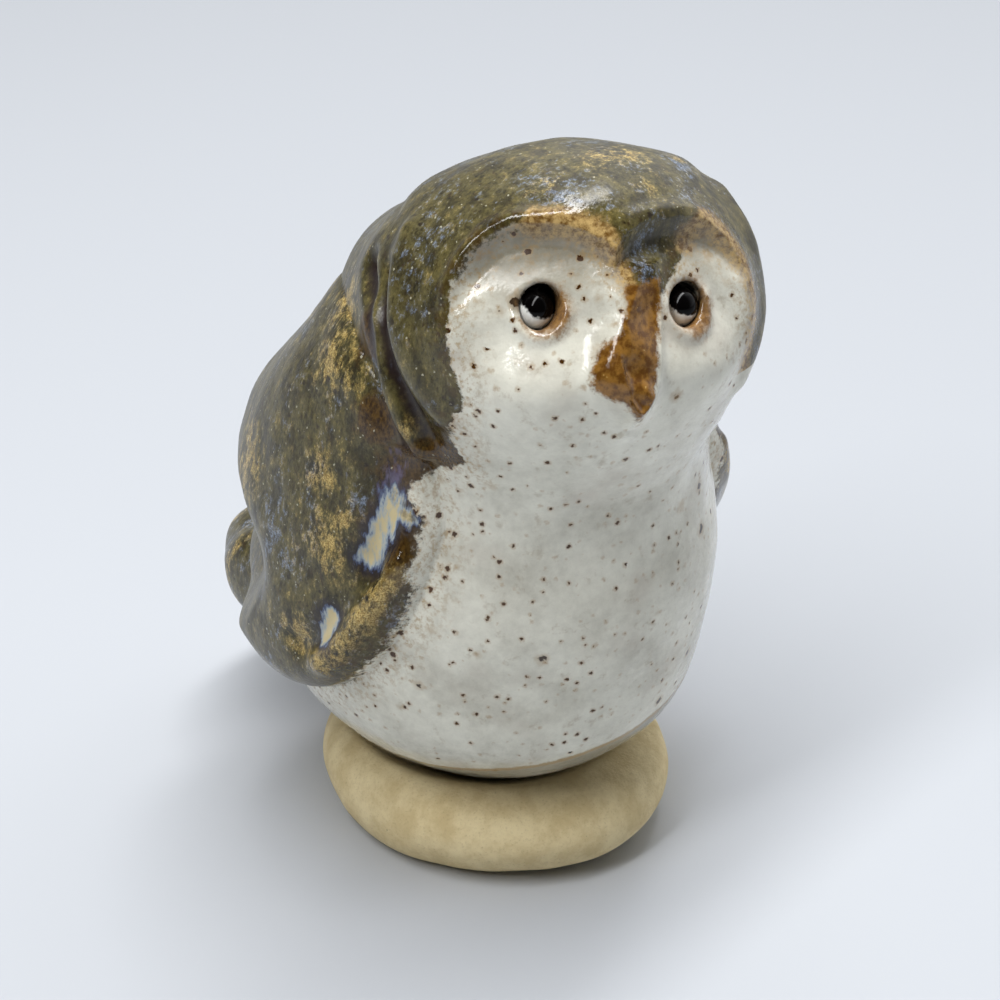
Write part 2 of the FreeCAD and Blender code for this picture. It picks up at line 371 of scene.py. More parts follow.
FOLD_A_PATH = ((-10.6, -5.0, 46.8), (-12.0, -5.9, 44.4), (-12.7, -7.3, 41.6), (-12.7, -9.4, 39.0),
               (-12.1, -10.9, 37.3))
CREASE_A_PATH = ((-11.6, -4.6, 44.0), (-12.8, -5.9, 41.4), (-12.9, -6.8, 39.6), (-12.6, -8.0, 37.3),
                 (-12.1, -8.9, 35.0))
CREASE_B_PATH = ((-10.6, -1.6, 43.2), (-12.4, -3.4, 41.6), (-13.2, -4.7, 39.4), (-13.4, -5.7, 36.2),
                 (-13.1, -7.2, 33.8), (-12.9, -6.6, 32.4))


# A shallow roll of clay below the ear, between the two creases.
LOBE_PATH = ((-12.6, -5.6, 41.2), (-13.1, -6.2, 39.3), (-13.0, -7.1, 37.4), (-12.9, -7.7, 35.8))


def head_side(points):
    """The points mirrored to the owl's right side of its turned head."""
    local = in_head(points)
    local[:, 0] = -np.abs(local[:, 0])
    return local @ HEAD_AXES.T + HEAD_CENTRE


def feathers(points):
    """Waves that fan out over the tail, 1 on the back of a feather and -1 between two."""
    fan = np.arctan2(np.abs(points[:, 0]) + 0.5, points[:, 1] - 2.0)
    return -np.cos(fan * 2 * math.pi / FEATHER_ANGLE)


def tail_lump(points):
    """A thick paddle with shallow feather grooves that fan out over it."""
    scaled = (points - TAIL_CENTRE) @ TAIL_AXES / TAIL_HALF_SIZES
    across = np.hypot(scaled[:, 0], scaled[:, 1])
    size = (across ** TAIL_POWER + np.abs(scaled[:, 2]) ** TAIL_POWER) ** (1 / TAIL_POWER)
    grooves = feathers(points)
    reach = TAIL_HALF_SIZES[2] + (TAIL_HALF_SIZES[0] - TAIL_HALF_SIZES[2]) * (across / (size + 1e-6)) ** 4
    return (size - 1) * reach - 0.12 * ramp(points[:, 1], 13.0, 18.0) * grooves


def roll_lump(side_points):
    distance, _ = path_distance(side_points, ROLL_PATH, 8.0)
    return distance - ROLL_RADIUS


def lumps(points):
    """Signed distance to each lump of the owl, by the name of its node."""
    local = in_head(points)
    side_points = mirrored(points)
    body = body_lump(points)
    right = points[:, 0] < 0
    wing = np.maximum.reduce([np.abs(body - 0.3) - WING_THICKNESS + 0.3, wing_outline(side_points),
                              side_points[:, 0] + WING_INNER_SIDE])
    roll = roll_lump(side_points)
    far = 50.0
    return {
        "body_shell": body,
        "head": ellipsoid(local, HEAD_HALF_SIZES) - face_relief(local),
        "beak": beak_lump(local),
        "right_wing": np.where(right, wing, far),
        "left_wing": np.where(right, far, wing),
        "right_shoulder_roll": np.where(right, roll, far),
        "left_shoulder_roll": np.where(right, far, roll),
        "tail": tail_lump(points),
    }


def owl_form(points, parts):
    """Signed distance to the whole owl, with the lumps smoothed together one by one."""
    side_points = mirrored(points)
    body = parts["body_shell"] - wing_relief(side_points)
    throat = 4.0 + 3.0 * ramp(-points[:, 1], 6.0, 12.0)
    form = smooth_union(body, parts["head"], throat)
    form = smooth_union(form, parts["tail"], 1.0)
    rolls = np.minimum(parts["right_shoulder_roll"], parts["left_shoulder_roll"])
    form = smooth_union(form, rolls, 1.0)
    form += rise(head_side(points), CREASE_A_PATH, 0.8, 0.7) + rise(side_points, CREASE_B_PATH, 1.1, 0.8)
    form -= rise(head_side(points), FOLD_A_PATH, 0.5, 1.1) + rise(side_points, LOBE_PATH, 0.35, 1.2)
    form = smooth_union(form, parts["beak"], 0.8)
    form -= 0.16 * clay_noise(points, 8.0, 1) + 0.10 * clay_noise(points, 3.6, 2)
    form -= 0.03 * clay_noise(points, 1.3, 3)
    return form


def eye_middle(side):
    """The middle line of an eye hole, across and up in the head's own directions."""
    return np.array((FACE_SIDE + side * EYE_SIDE, 0.0, EYE_UP - (LEFT_EYE_DROP if side > 0 else 0.0)))


def eye_holes(points):
    """Signed distance to the two holes poked for the eyes."""
    local = in_head(points)
    middle = np.where(local[:, :1] > FACE_SIDE, eye_middle(1), eye_middle(-1))
    across, deep, up = (local - middle).T
    aside = np.hypot(across, (up - 0.2 * across) * 0.86) - EYE_RADIUS * (1 + 0.12 * ramp(up, -0.9, 0.9))
    return smooth_cut(aside, deep - EYE_FLOOR, 0.8)


def piece_form(name):
    """The signed distance of one piece: the owl's form where this lump is the nearest, closed a
    little way under its neighbours."""
    def form(points):
        parts = lumps(points)
        own = parts.pop(name)
        beyond = own - np.minimum.reduce(list(parts.values()))
        parts[name] = own
        past = np.maximum(beyond, 0.0)
        sunk = owl_form(points, parts) + SEAM_SINK * past ** 2
        piece = np.maximum(sunk, beyond - SEAM_OVERLAP)
        if name == "head":
            piece = smooth_cut(piece, -eye_holes(points), 0.25)
        if name == "body_shell":
            hollow = ellipsoid(points - HOLLOW_CENTRE, HOLLOW_HALF_SIZES)
            vent = np.hypot(points[:, 0] - VENT_PLACE[0], points[:, 1] - VENT_PLACE[1]) - VENT_RADIUS
            vent = np.maximum(vent, points[:, 2] - HOLLOW_CENTRE[2])
            piece = np.maximum(piece, -smooth_union(hollow, vent, 1.0))
        return piece
    return form


def pad_form(points):
    """A pinched disc of clay, higher at its sides, with the owl pressed into it."""
    local = points - PAD_CENTRE
    bulge = np.ones((len(points), 3)) * PAD_HALF_SIZES
    bulge[:, 2] += PAD_RIM_RISE * (local[:, 0] / PAD_HALF_SIZES[0]) ** 2
    disc = ellipsoid(local, bulge) - 0.3 * clay_noise(points, 7.0, 5)
    top = points[:, 2] - PAD_HEIGHT - 0.5 * (local[:, 0] / PAD_HALF_SIZES[0]) ** 2
    pad = smooth_cut(disc, top - 0.3 * clay_noise(points, 6.0, 6), 2.0)
    pad = smooth_cut(pad, -points[:, 2], 0.8) - 0.05 * clay_noise(points, 1.6, 7)
    vent = np.hypot(points[:, 0] - VENT_PLACE[0], points[:, 1] - VENT_PLACE[1]) - VENT_RADIUS
    seat = np.minimum(body_lump(points) - 0.08 - 0.45 * ramp(points[:, 2], 4.4, 6.4), vent)
    return smooth_cut(pad, -seat, 0.4)


def eye_form(side):
    """A glass bead, a little off the middle of its hole."""
    middle = eye_middle(side) + BEAD_MIDDLE

    def form(points):
        return ellipsoid(in_head(points) - middle, BEAD_HALF_SIZES)
    return form


BLOCK = 4
STEEPEST = 2.0


def sample(form, low, counts, cell):
    """The form on a grid of points, worked out finely only near its surface."""
    coarse_counts = -(-counts // BLOCK) + 1
    axes = [low[k] + cell * BLOCK * np.arange(coarse_counts[k]) for k in range(3)]
    coarse = form(np.stack(np.meshgrid(*axes, indexing="ij"), axis=-1).reshape(-1, 3))
    coarse = coarse.reshape(coarse_counts)
    band = STEEPEST * BLOCK * cell
    corners = [coarse[i:i - 1 or None, j:j - 1 or None, k:k - 1 or None]
               for i, j, k in np.ndindex(2, 2, 2)]
    least, most = np.minimum.reduce(corners), np.maximum.reduce(corners)
    near = (least < band) & (most > -band)
    fill = np.where(least > 0, band, -band)
    for axis in range(3):
        near = near.repeat(BLOCK, axis=axis)
        fill = fill.repeat(BLOCK, axis=axis)
    places = np.argwhere(near)
    fill[near] = form(low + cell * places)
    return fill


def settle(points, form, cell, rounds=3):
    """Moves points onto the surface, and gives the surface's direction at each."""
    step = 0.15 * cell
    for last in [False] * rounds + [True]:
        slope = np.column_stack([form(points + offset) - form(points - offset)
                                 for offset in step * np.eye(3)]) / (2 * step)
        squared = np.maximum((slope ** 2).sum(1), 0.25)
        if last:
            return points, slope / np.sqrt(np.maximum((slope ** 2).sum(1), 1e-9))[:, None]
        move = np.clip(form(points) / np.sqrt(squared), -0.5 * cell, 0.5 * cell)
        points = points - (move / np.sqrt(squared))[:, None] * slope


def make_piece(name, form, box, cell):
    """A mesh of the form inside a box, in metres, with its exact surface directions."""
    low = np.array(box[0]) / MM - 2.5
    high = np.array(box[1]) / MM + 2.5
    counts = np.ceil((high - low) / cell).astype(int)
    values = sample(form, low, counts, cell)
    grid = openvdb.FloatGrid(STEEPEST * BLOCK * cell)
    grid.copyFromArray(values.astype(np.float32))
    points, quads = grid.convertToQuads()
    points, directions = settle(low + cell * points.astype(float), form, cell)
    mesh = bpy.data.meshes.new(name)
    mesh.from_pydata((points * MM).tolist(), [], quads.tolist())
    mesh.shade_smooth()
    mesh.normals_split_custom_set_from_vertices(directions.tolist())
    piece = bpy.data.objects.new(name, mesh)
    bpy.context.scene.collection.objects.link(piece)
    return piece, points


def segment_distance(y, z, outline):
    """Distance in the side view from a closed outline, below 0 inside it."""
    corners = np.array(outline)
    distance = np.full(len(y), 1e3)
    inside = np.zeros(len(y), bool)
    for start, end in zip(corners, np.roll(corners, -1, axis=0)):
        run = end - start
        share = np.clip(((y - start[0]) * run[0] + (z - start[1]) * run[1]) / (run @ run), 0, 1)
        distance = np.minimum(distance, np.hypot(y - start[0] - share * run[0],
                                                 z - start[1] - share * run[1]))
        crosses = (start[1] > z) != (end[1] > z)
        rise = run[1] if run[1] else 1e-9
        inside ^= crosses & (y < start[0] + (z - start[1]) * run[0] / rise)
    return np.where(inside, -distance, distance)


# The dark glaze seen from the side, as (y, z): the neck, the wing's front and lower edge, the tail.
DARK_SIDE = (
    (-12.6, 42.0), (-12.0, 38.0), (-10.8, 35.4), (-11.2, 33.8), (-8.8, 32.6), (-7.2, 31.2), (-7.0, 30.2),
    (-8.1, 29.0), (-8.1, 26.4), (-8.0, 24.0), (-7.4, 21.8), (-6.0, 19.1), (-3.4, 15.9), (-0.6, 13.8),
    (2.4, 12.8), (8.6, 12.2), (12.0, 10.0), (14.5, 6.0), (35.0, 4.0), (35.0, 60.0), (-12.6, 60.0),
)
# Where the cream glaze has run, and the golden and blue patches of the dark glaze, as places on
# the owl's right side with how far each reaches.
# The glaze stops above the foot on a tilted line.
GLAZE_END = 10.6
GLAZE_TILT = (0.2, -0.05, -1.0)
DRIPS = (
    ((-12.9, -6.4, 30.0), (-13.2, -6.2, 28.6), (-13.6, -5.8, 27.2), (-14.0, -5.2, 25.5)),
    ((-13.0, -6.6, 29.0), (-12.5, -7.4, 29.0)),
    ((-15.45, -3.1, 21.0), (-15.6, -2.9, 20.2), (-15.75, -2.8, 19.4)),
)
DRIP_TAPER = (0.05, 0.2, 0.15)
STREAK_PATH = ((-12.9, -6.6, 32.4), (-12.9, -6.4, 30.6), (-13.0, -6.4, 29.4))
GOLD_PATCHES = (
    (-13.1, -0.4, 37.4, 2.6), (-10.7, 0.8, 39.5, 2.2), (-13.0, -2.2, 36.7, 1.6), (-14.7, -1.4, 30.1, 1.8),
    (-14.7, -3.8, 28.1, 1.3), (-15.4, -2.3, 26.0, 2.4), (-15.7, -0.4, 18.5, 2.0), (-12.9, -8.0, 35.4, 0.9),
    (-0.9, -11.3, 50.4, 1.4), (0.7, -13.9, 49.6, 1.3), (-5.0, -11.5, 49.6, 1.0), (-9.0, 9.0, 38.0, 3.0),
    (-14.0, 8.0, 27.0, 3.0), (-4.0, 21.0, 17.0, 3.0),
)
BLUE_PATCHES = (
    (-15.8, 3.1, 24.9, 2.0), (-14.1, -4.7, 29.6, 1.0), (-13.9, -7.2, 21.7, 1.2), (-2.1, -17.3, 47.1, 2.2),
    (-4.5, -12.5, 49.6, 1.4), (-12.5, -8.0, 28.9, 0.8), (-9.6, 22.0, 13.0, 2.4), (-12.9, -4.8, 38.0, 1.2),
)


UMBER_PATCHES = (
    (-10.8, -10.1, 32.9, 2.2), (-12.6, -7.6, 32.2, 2.0), (-13.0, -6.6, 27.6, 1.8), (-12.7, -5.1, 34.8, 1.4),
    (-12.3, -3.4, 39.6, 1.2),
)
# The brown of the beak, as places on the map of the face.
BEAK_OUTLINE = (
    (0.4, 0.9), (3.6, 1.2), (4.0, -3.0), (3.2, -6.6), (0.9, -7.2), (0.2, -6.4), (-0.5, -5.5), (-1.6, -5.1),
    (-2.3, -4.8), (-2.2, -3.8), (-1.8, -2.9), (-1.1, -2.2), (-0.4, -1.8), (0.1, -0.4),
)
# The amber edge of the white, where the glazes run thin: over the dish of the owl's right eye and
# down to the beak, round the other dish, and down the front of the wing.
AMBER_PATHS = (
    ((-7.0, -13.3, 48.9), (-5.5, -14.6, 49.0), (-4.5, -15.7, 47.8), (-4.4, -16.6, 46.2), (-4.3, -17.6, 44.8)),
    ((1.8, -16.3, 46.9), (3.2, -16.4, 47.2), (4.8, -16.7, 45.8), (5.3, -17.8, 43.3), (4.9, -18.5, 41.3),
     (4.3, -18.5, 38.2)),
)


def patches(points, places):
    return np.maximum.reduce([hump(np.linalg.norm(points - place[:3], axis=1), place[3])
                              for place in np.array(places)])


def glaze_zones(points):
    """Where each glaze lies, as smooth values that the materials break up: distances in
    millimetres into the white and the beak's brown, and shares from 0 to 1 of the rest."""
    local = in_head(points)
    side_points = mirrored(points)
    around, up = face_map(local)
    rim = (1 - dish_reach(around, up)) * DISH_HALF_SIZES[0]
    below = 10.6 + np.maximum(-4.5 - up, 0.0) * 0.8 - np.abs(around)
    face = np.where(up > DISH_CENTRE[1], rim, np.maximum(rim, below))
    peak = np.maximum.reduce([(0.95 - 0.4 * up - around) / 1.08, (around - 2.75 - 0.95 * up) / 1.38,
                              0.3 - up])
    face = np.minimum(face, peak)
    face = np.where(local[:, 1] < -1.0, face, -3.0)
    chest = segment_distance(side_points[:, 1], side_points[:, 2], DARK_SIDE)
    chest = np.where(points[:, 2] < 38, chest, -3.0)
    head = ellipsoid(local, HEAD_HALF_SIZES) - face_relief(local)
    drip = np.minimum.reduce([path_distance(side_points, path, 4.0)[0] + taper
                              for path, taper in zip(DRIPS, DRIP_TAPER)])
    streak = path_distance(side_points, STREAK_PATH, 4.0)[0]
    eye = eye_distance(around, up)
    eye = np.where(local[:, 1] < 0, eye, 9.0)
    ridge = along_spline(BEAK_KNOTS, BEAK_CURVES[0], BEAK_BENDS[0],
                         np.clip(local[:, 2], BEAK_KNOTS[0], BEAK_KNOTS[-1]))[0]
    beak = np.minimum(-segment_distance(around, up, BEAK_OUTLINE), ridge + 0.5 - local[:, 0])
    beak = np.where(local[:, 1] < -7, beak, -2.0)
    on_tail = 0.65 * ramp(points[:, 1], 14.0, 17.0) * ramp(-tail_lump(points), -1.0, 0.0)
    feather = feathers(points)
    gold = np.maximum(patches(side_points, GOLD_PATCHES), rise(side_points, RIDGE_PATH, 1.5, 1.0))
    return {
        "white": np.maximum(face, chest),
        "brown": beak,
        "eye": eye,
        "socket": ramp(local[:, 1], -8.9, -8.1) * (eye < 1.7),
        "crease": np.maximum(rise(head_side(points), CREASE_A_PATH, 0.8, 0.7),
                             rise(side_points, CREASE_B_PATH, 1.0, 0.9)),
        "drip": np.minimum(drip, 3.0),
        "streak": np.minimum(streak, 3.0),
        "gold": np.maximum(gold, on_tail * ramp(feather, 0.0, 1.0)),
        "blue": np.maximum(patches(side_points, BLUE_PATCHES), 1.2 * on_tail * ramp(-feather, 0.0, 1.0)),
        "amber": np.maximum.reduce([rise(points, path, 1.0, 1.3) for path in AMBER_PATHS]),
        "stain": np.where(local[:, 1] < 0, eye_distance(around, up, lean=0.35), 9.0),
        "thin": np.clip(GLAZE_END + points @ GLAZE_TILT, -3.0, 3.0),
        "umber": patches(side_points, UMBER_PATCHES),
        # Painted light on the cheeks and painted shade in the upper dishes under the brow ledges.
        "painted_light_and_shade": (0.45 * hump(np.hypot(np.abs(around) - 5.5, up + 3.5), 5.0)
                   - 1.5 * hump(np.hypot(0.6 * (np.abs(around) - 5.0), up - 4.6), 3.6)) * ramp(-local[:, 1], 2.0, 6.0),
    }


class Nodes:
    """A short way to write a material's node tree."""

    def __init__(self, name):
        self.material = bpy.data.materials.new(name)
        self.material.use_nodes = True
        self.tree = self.material.node_tree
        self.tree.nodes.clear()

    def add(self, kind, inputs=None, output=0, **settings):
        node = self.tree.nodes.new("ShaderNode" + kind)
        for key, value in settings.items():
            setattr(node, key, value)
        for key, value in (inputs or {}).items():
            socket = node.inputs[key]
            if isinstance(value, bpy.types.NodeSocket):
                self.tree.links.new(value, socket)
            else:
                socket.default_value = value
        return node.outputs[output] if len(node.outputs) else node

    def maths(self, operation, *values):
        return self.add("Math", dict(enumerate(values)), operation=operation)

    def attribute(self, name):
        return self.add("Attribute", attribute_name=name, output="Fac")

    def mix(self, share, first, second, blend="MIX"):
        return self.add("Mix", {0: share, 6: first, 7: second}, output=2, data_type="RGBA",
                        blend_type=blend)

    def spread(self, value, low, high, to_low=0.0, to_high=1.0):
        return self.add("MapRange", {0: value, 1: low, 2: high, 3: to_low, 4: to_high},
                        interpolation_type="SMOOTHSTEP")

    def noise(self, place, scale, detail=2.0, roughness=0.5, output="Fac"):
        return self.add("TexNoise", {"Vector": place, "Scale": scale, "Detail": detail,
                                     "Roughness": roughness}, output=output)


def colour(red, green, blue):
    """A display colour, 0 to 255, as the linear colour that a shader takes."""
    def linear(value):
        value /= 255
        return value / 12.92 if value <= 0.04045 else ((value + 0.055) / 1.055) ** 2.4
    return (linear(red), linear(green), linear(blue), 1.0)


def in_millimetres(nodes):
    place = nodes.add("TexCoord", output="Object")
    return nodes.add("VectorMath", {0: place, 3: 1 / MM}, operation="SCALE")


def stretched(nodes, place, stretch):
    return nodes.add("VectorMath", {0: place, 1: stretch}, operation="MULTIPLY")


def specks(nodes, place, spacing, least, most, seed):
    """Ragged dots, one to a cell at most: how far into a dot a place is, in millimetres."""
    moved = nodes.add("VectorMath", {0: place, 1: (seed, 2.7 * seed, -1.3 * seed)}, operation="ADD")
    wander = nodes.noise(moved, 4.0 / spacing ** 0.5, 2.0, output="Color")
    wander = nodes.add("VectorMath", {0: wander, 3: 0.35 * spacing ** 0.5}, operation="SCALE")
    moved = nodes.add("VectorMath", {0: moved, 1: wander}, operation="ADD")
    inputs = {"Vector": moved, "Scale": 1 / spacing}
    distance = nodes.add("TexVoronoi", inputs)
    shade = nodes.add("TexVoronoi", inputs, output="Color")
    chance = nodes.add("SeparateColor", {0: shade})
    radius = nodes.add("MapRange", {0: chance, 1: 0.0, 2: 1.0, 3: least, 4: most})
    return nodes.maths("SUBTRACT", radius, nodes.maths("MULTIPLY", distance, spacing))


def white_glaze_tone(nodes, place, white):
    """Milky glaze: clouded, greyer where it is thin, with iron specks and tan haloes; painted shade makes it greyer
    under the brow ledges and painted light makes it whiter on the cheeks.
    """
    cloud = nodes.noise(place, 0.25, 3.0, 0.55)
    mottle = nodes.noise(place, 1.5, 5.0, 0.7)
    # The painted light and shade of the face is added to the glaze's thickness here.
    thick = nodes.maths("MULTIPLY_ADD", nodes.attribute("painted_light_and_shade"), 0.50, cloud)
    thick = nodes.maths("MULTIPLY_ADD", mottle, 0.55, thick)
    tone = nodes.mix(nodes.spread(thick, -0.20, 1.35), colour(138, 131, 112), colour(247, 245, 230))
    blush = nodes.spread(nodes.noise(place, 0.2, 3.0), 0.50, 0.75, 0.0, 0.5)
    tone = nodes.mix(blush, tone, colour(182, 170, 154))
    veil = nodes.spread(nodes.noise(place, 0.9, 4.0, 0.65), 0.57, 0.74, 0.0, 0.45)
    tone = nodes.mix(veil, tone, colour(164, 148, 120))
    near_edge = nodes.spread(white, 3.0, 0.1)
    tan = nodes.spread(nodes.noise(place, 2.6, 4.0, 0.7), 0.46, 0.66, 0.0, 0.75)
    tone = nodes.mix(nodes.maths("MULTIPLY", near_edge, tan), tone, colour(172, 146, 104))
    fine = specks(nodes, place, 0.7, -0.16, 0.17, 3.0)
    fine = nodes.maths("MULTIPLY_ADD", near_edge, 0.08, fine)
    tone = nodes.mix(nodes.spread(fine, -0.16, 0.02, 0.0, 0.5), tone, colour(168, 134, 84))
    tone = nodes.mix(nodes.spread(fine, -0.01, 0.04), tone, nodes.mix(mottle, colour(96, 58, 18), colour(34, 24, 14)))
    large = specks(nodes, place, 2.4, -0.40, 0.38, 11.0)
    tone = nodes.mix(nodes.spread(large, -0.42, 0.05, 0.0, 0.5), tone, colour(168, 138, 92))
    tone = nodes.mix(nodes.spread(large, -0.05, 0.03, 0.0, 0.95), tone, colour(46, 28, 12))
    return tone


def dark_glaze_tone(nodes, place):
    """Olive glaze broken up by crystals: gold where it is thin, blue-grey where it is thick, with tiny pale painted
    highlights.
    """
    flow = stretched(nodes, place, (1.0, 1.0, 0.6))
    coarse = nodes.spread(nodes.noise(flow, 0.45, 3.0, 0.6), 0.32, 0.68)
    middle = nodes.spread(nodes.noise(flow, 1.3, 5.0, 0.72), 0.30, 0.70)
    fine = nodes.spread(nodes.noise(flow, 4.2, 4.0, 0.7), 0.32, 0.68)
    sparkle = nodes.spread(nodes.noise(place, 9.0, 2.0, 0.6), 0.35, 0.65)
    tone = nodes.mix(middle, colour(20, 15, 4), colour(104, 94, 50))
    tone = nodes.mix(nodes.maths("MULTIPLY", fine, 0.45), tone, colour(122, 114, 72))
    deep = nodes.spread(nodes.noise(flow, 0.7, 4.0, 0.65), 0.52, 0.38, 0.0, 0.6)
    tone = nodes.mix(deep, tone, colour(32, 27, 13))
    blue = nodes.maths("MULTIPLY_ADD", nodes.attribute("blue"), 0.34, nodes.maths(
        "MULTIPLY_ADD", nodes.spread(nodes.noise(flow, 2.6, 4.0, 0.7), 0.3, 0.7), 0.6,
        nodes.maths("MULTIPLY", coarse, 0.35)))
    tint = nodes.mix(sparkle, colour(70, 80, 98), colour(150, 166, 190))
    tone = nodes.mix(nodes.spread(blue, 0.62, 0.95, 0.0, 0.7), tone, tint)
    gold = nodes.maths("MULTIPLY_ADD", nodes.attribute("gold"), 0.40, nodes.maths(
        "MULTIPLY_ADD", fine, 0.26, nodes.maths("MULTIPLY", middle, 0.58)))
    tint = nodes.mix(sparkle, colour(142, 112, 50), colour(220, 194, 122))
    tone = nodes.mix(nodes.spread(gold, 0.56, 1.08, 0.0, 0.95), tone, tint)
    brown = nodes.noise(stretched(nodes, flow, (1.0, 1.0, 1.3)), 2.2, 4.0, 0.7)
    tone = nodes.mix(nodes.spread(brown, 0.58, 0.68, 0.0, 0.75), tone, colour(52, 36, 16))
    umber = nodes.maths("MULTIPLY_ADD", nodes.noise(flow, 1.6, 4.0), 0.8, nodes.attribute("umber"))
    tone = nodes.mix(nodes.spread(umber, 0.42, 0.85, 0.0, 0.95), tone,
                     nodes.mix(fine, colour(40, 22, 6), colour(98, 72, 30)))
    spots = specks(nodes, place, 1.1, -0.3, 0.22, 23.0)
    tone = nodes.mix(nodes.spread(spots, -0.08, 0.05, 0.0, 0.85), tone, colour(34, 24, 14))
    # Tiny pale dots: painted highlights on the crystals.
    painted_glints = specks(nodes, place, 0.36, -0.12, 0.085, 31.0)
    return nodes.mix(nodes.spread(painted_glints, -0.01, 0.03, 0.0, 0.6), tone, colour(214, 210, 184))


def amber_tone(nodes, place):
    """Brown glaze on the beak and along the edges: amber with golden and dark flecks."""
    middle = nodes.noise(place, 2.0, 4.0, 0.65)
    tone = nodes.mix(nodes.spread(middle, 0.36, 0.64), colour(98, 62, 20), colour(146, 104, 44))
    flecks = specks(nodes, place, 0.5, -0.2, 0.1, 41.0)
    tone = nodes.mix(nodes.spread(flecks, -0.02, 0.02, 0.0, 0.7), tone, colour(206, 172, 104))
    dark = specks(nodes, place, 1.0, -0.3, 0.2, 47.0)
    return nodes.mix(nodes.spread(dark, -0.05, 0.04, 0.0, 0.85), tone, colour(60, 36, 16))


def glaze(name):
    """The owl's glazes. Which one shows is read from the piece's zones, with ragged edges."""
    nodes = Nodes(name)
    place = in_millimetres(nodes)
    flow = stretched(nodes, place, (1.0, 1.0, 0.3))
    ragged = nodes.maths("SUBTRACT", nodes.noise(place, 1.8, 6.0, 0.72), 0.5)
    white = nodes.maths("MULTIPLY_ADD", ragged, 1.3, nodes.attribute("white"))
    amber = amber_tone(nodes, place)
    dark = dark_glaze_tone(nodes, place)
    crease = nodes.maths("MULTIPLY_ADD", ragged, 0.5, nodes.attribute("crease"))
    dark = nodes.mix(nodes.spread(crease, 0.2, 0.62, 0.0, 0.9), dark, colour(36, 22, 24))
    # Runs of cream glaze: pale in the middle, then blue and violet, in a dark pool.
    strands = nodes.maths("SUBTRACT", nodes.noise(flow, 2.4, 4.0, 0.6), 0.5)
    drip = nodes.maths("MULTIPLY_ADD", strands, 1.5, nodes.attribute("drip"))
    streak = nodes.maths("MULTIPLY_ADD", strands, 2.6, nodes.attribute("streak"))
    dark = nodes.mix(nodes.spread(drip, 1.75, 1.0, 0.0, 0.9), dark, colour(40, 34, 40))
    dark = nodes.mix(nodes.spread(streak, 1.1, 0.3, 0.0, 0.85), dark, colour(112, 104, 134))
    dark = nodes.mix(nodes.spread(drip, 1.0, 0.85, 0.0, 0.9), dark, colour(78, 92, 126))
    dark = nodes.mix(nodes.spread(drip, 0.9, 0.65), dark, colour(168, 180, 186))
    dark = nodes.mix(nodes.spread(drip, 0.72, 0.45), dark, colour(212, 196, 150))
    # Along the edge of the white the dark glaze is thin and brown, and amber in some places.
    near = nodes.spread(nodes.maths("ABSOLUTE", nodes.maths("ADD", white, 0.3)), 1.1, 0.2)
    patchy = nodes.spread(nodes.noise(place, 1.6, 4.0, 0.6), 0.35, 0.65, 0.0, 0.75)
    dark = nodes.mix(nodes.maths("MULTIPLY", near, patchy), dark, colour(70, 52, 22))
    edge = nodes.mix(nodes.spread(nodes.noise(place, 2.6, 5.0, 0.72), 0.34, 0.66), colour(108, 74, 28), colour(204, 172, 112))
    thinned = nodes.spread(nodes.maths("MULTIPLY_ADD", ragged, 1.1, nodes.attribute("amber")), 0.25, 0.65)
    share = nodes.maths("MULTIPLY", thinned, nodes.spread(white, -1.5, -0.3))
    dark = nodes.mix(nodes.maths("MULTIPLY", share, 0.9), dark, edge)
    pale = white_glaze_tone(nodes, place, white)
    share = nodes.maths("MULTIPLY", thinned, nodes.spread(white, 1.1, 0.1, 0.0, 0.7))
    pale = nodes.mix(share, pale, edge)
    tone = nodes.mix(nodes.spread(white, -0.10, 0.14), dark, pale)
    # Low on the body the glaze ends in a tan line, and below it the body is coloured darker and greyer.
    thin = nodes.maths("MULTIPLY_ADD", ragged, 0.6, nodes.attribute("thin"))
    tone = nodes.mix(nodes.spread(thin, -0.1, 0.5, 0.0, 0.75), tone, colour(132, 124, 106))
    line = nodes.spread(nodes.maths("ABSOLUTE", nodes.maths("SUBTRACT", thin, 0.1)), 0.35, 0.1, 0.0, 0.8)
    tone = nodes.mix(line, tone, colour(160, 134, 92))
    brown = nodes.maths("MULTIPLY_ADD", ragged, 1.4, nodes.attribute("brown"))
    tone = nodes.mix(nodes.spread(brown, -0.28, 0.16), tone, amber)
    # The stain round each eye, and the dark inside of its hole.
    ring = nodes.maths("MULTIPLY_ADD", ragged, 2.2, nodes.attribute("stain"))
    tone = nodes.mix(nodes.spread(ring, 2.2, 1.2, 0.0, 0.75), tone, colour(160, 122, 76))
    tone = nodes.mix(nodes.spread(ring, 1.75, 1.0, 0.0, 0.85), tone, amber)
    tone = nodes.mix(nodes.attribute("socket"), tone, colour(22, 15, 10))
    shine = nodes.spread(white, -2.4, -0.8, 0.34, 0.12)
    matt = nodes.maths("MULTIPLY", nodes.attribute("painted_light_and_shade"), -0.35)
    matt = nodes.maths("MULTIPLY", matt, nodes.spread(white, 0.3, 1.2))
    shine = nodes.maths("MAXIMUM", shine, matt)
    grain = nodes.noise(place, 5.0, 3.0, 0.6)
    height = nodes.maths("MULTIPLY_ADD", grain, 0.02, nodes.maths("MULTIPLY", nodes.noise(place, 1.4, 2.0), 0.06))
    bump = nodes.add("Bump", {"Strength": 0.7, "Distance": MM, "Height": height})
    shader = nodes.add("BsdfPrincipled", {"Base Color": tone, "Roughness": shine, "Normal": bump})
    nodes.add("OutputMaterial", {"Surface": shader})
    return nodes.material


